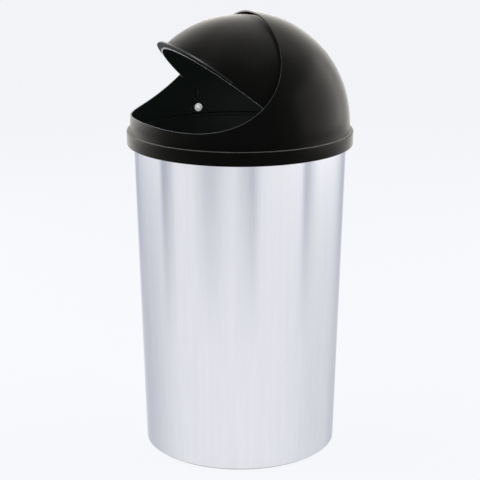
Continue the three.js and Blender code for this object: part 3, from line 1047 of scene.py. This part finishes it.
bush_section = [
    (bush_inner, bush_foot), (bush_outer, bush_foot), (bush_outer, shoulder),
    (bush_flange, shoulder), (bush_flange, flange_face), (bush_inner, flange_face),
]
washer_section = [
    (screw_hole_radius, washer_face), (washer_radius, washer_face),
    (washer_radius, washer_outer_face), (screw_hole_radius, washer_outer_face),
]


def screw_section():
    crown = []
    for i in range(crown_steps + 1):
        angle = math.radians(90 * i / crown_steps)
        up = head_crown + (head_seat - head_rim - head_crown) * (1 - math.cos(angle))
        crown.append((head_radius * math.sin(angle), up))
    return [
        *crown, (head_radius, head_seat), (screw_radius, head_seat),
        (screw_radius, screw_tip - screw_radius), (0, screw_tip),
    ]


def recess(sign):
    """Two crossed blocks at the top of a screw's head, on the right (1) or the left (-1)."""
    middle = pivot + Vector((sign * head_crown, 0, 0))
    upright = box((2 * recess_depth, recess_width, recess_length), middle)
    level = box((2 * recess_depth, recess_length, recess_width), middle)
    return upright, level


bushes = [moved(shape, swing_open) for shape in both_sides(bush_section, steps=48)]
washers = both_sides(washer_section, steps=96)
screws = both_sides(screw_section(), steps=48)
sides = zip(("right", "left"), (1, -1), bushes, washers, screws)
for side, sign, bush, washer, screw in sides:
    finished(f"nylon_bush_{side}", bush, "swing_flap", "bush_nylon",
             [f"pivot_bush_{side}"], rounding=0.00015)
    finished(f"zinc_washer_{side}", washer, "lid", "bright_zinc",
             [f"pivot_washer_{side}"], rounding=0.0002)
    for block in recess(sign):
        screw = carved(screw, block)
    finished(f"zinc_screw_{side}", screw, "lid", "bright_zinc",
             [f"pivot_screw_{side}"], rounding=0.0001)

# %% [markdown]
# ## Studio
#
# The bin stands on a pale floor that runs on to the horizon, so floor and backdrop are one.
# For the camera, and in what metal and plastic mirror, the floor and the sky are the pale
# bluish white of a studio. The light on the bin comes from a dim world and four softboxes, so
# the floor keeps a faint shadow. A fifth, tiny lamp sits inside the mouth, out of the camera's
# sight, and shows the pivot screw, as a photographer would do it with a small reflector.

# %% Floor and world
backdrop = (0.916, 0.925, 0.957)
glow = 0.96                          # share of the floor's colour that is not shadowed
floor_reach = 60
ambient_colour = (0.93, 0.95, 1.0)
ambient_strength = 0.25


def seen_directly(tree):
    """1 for rays from the camera, a mirror or glass, and 0 for the light on things."""
    path = tree.nodes.new("ShaderNodeLightPath")
    gloss = calculate(tree, "MAXIMUM", path.outputs["Is Camera Ray"],
                      path.outputs["Is Glossy Ray"])
    return calculate(tree, "MAXIMUM", gloss, path.outputs["Is Transmission Ray"])


def mix_into(output, tree, share, first, second):
    """Sends a mix of two shaders to an output node. The share is that of the second one."""
    mix = tree.nodes.new("ShaderNodeMixShader")
    for socket, source in zip(mix.inputs, (share, first, second)):
        tree.links.new(source, socket)
    tree.links.new(mix.outputs["Shader"], tree.nodes[output].inputs["Surface"])


def floor_finish():
    finish, tree, shader = new_finish("pale_floor", metallic=0.0, specular=0.0)
    shader.inputs["Base Color"].default_value = (*backdrop, 1)
    shader.inputs["Roughness"].default_value = 1.0
    emission = tree.nodes.new("ShaderNodeEmission")
    emission.inputs["Color"].default_value = (*backdrop, 1)
    share = calculate(tree, "MULTIPLY", seen_directly(tree), glow)
    mix_into("Material Output", tree, share, shader.outputs["BSDF"],
             emission.outputs["Emission"])
    return finish


plane = bmesh.new()
bmesh.ops.create_grid(plane, x_segments=1, y_segments=1, size=floor_reach)
bmesh.ops.translate(plane, vec=(0, 0, -seat_gap), verts=plane.verts[:])
floor = loose_object(plane, "studio_floor")
floor.data.materials.append(floor_finish())

world = bpy.data.worlds.new("studio")
bpy.context.scene.world = world
world.use_nodes = True
sky = world.node_tree
ambient = sky.nodes["Background"]
ambient.inputs["Color"].default_value = (*ambient_colour, 1)
ambient.inputs["Strength"].default_value = ambient_strength
clear = sky.nodes.new("ShaderNodeBackground")
clear.inputs["Color"].default_value = (*backdrop, 1)
clear.inputs["Strength"].default_value = 1.0
mix_into("World Output", sky, seen_directly(sky), ambient.outputs["Background"],
         clear.outputs["Background"])
print("floor and world in", backdrop)

# %% Softboxes
view_turn = math.radians(65.06)      # the photograph's view, from the front towards +X
white = (1, 1, 1)
bin_middle = (0, 0, 0.5)


def softbox(name, turn, height, distance, size, power, warmth=white, target=bin_middle):
    """A rectangular lamp that looks at a point of the bin. The turn is counted from the
    photograph's view, to its right, in degrees."""
    lamp = bpy.data.lights.new(name, "AREA")
    lamp.shape = "RECTANGLE"
    lamp.size, lamp.size_y = size
    lamp.energy = power
    lamp.color = warmth
    holder = bpy.data.objects.new(name, lamp)
    bpy.context.scene.collection.objects.link(holder)
    angle = view_turn + math.radians(turn)
    holder.location = (distance * math.sin(angle), -distance * math.cos(angle), height)
    aim = Vector(target) - holder.location
    holder.rotation_euler = aim.to_track_quat("-Z", "Y").to_euler()
    holder.visible_camera = False
    return holder


# Turn in degrees, height, distance and size in metres, power in watts.
softbox("right_box", 98, 1.0, 2.1, (3.0, 1.6), 70, warmth=(1, 0.965, 0.91))
softbox("left_box", -115, 1.0, 2.1, (2.2, 1.6), 56, warmth=(1, 0.97, 0.93))
softbox("front_box", -72, 2.3, 1.5, (0.8, 0.8), 24)
softbox("top_box", 150, 2.6, 0.4, (2.0, 2.0), 26, warmth=(1, 0.98, 0.95))
softbox("mouth_lamp", -5, 0.66, 0.12, (0.06, 0.06), 0.4,
        target=(-dome_radius, pivot.y, pivot.z))
print("four softboxes and a small lamp inside the mouth")

# %% [markdown]
# ## Camera
#
# The photograph was taken from a good distance with a long lens, a little above the bin, so
# its verticals hardly lean. Distance, height and tilt were worked out from the outlines of
# the shell, the ledge and the dome.

# %% Camera
view_distance = 2.7221
view_height = 1.1368
view_tilt = math.radians(15.68)
focal_length = 1568.15               # in pixels of a frame that is 480 wide
frame_width = 480
sensor_width = 36

lens = bpy.data.cameras.new("photograph")
lens.sensor_width = sensor_width
lens.lens = focal_length / frame_width * sensor_width
camera = bpy.data.objects.new("photograph", lens)
bpy.context.scene.collection.objects.link(camera)
camera.location = (view_distance * math.sin(view_turn), -view_distance * math.cos(view_turn),
                   view_height)
camera.rotation_euler = (math.pi / 2 - view_tilt, 0, view_turn)
bpy.context.scene.camera = camera
bpy.context.scene.view_settings.view_transform = "Standard"
print("lens", round(lens.lens, 1), "mm")
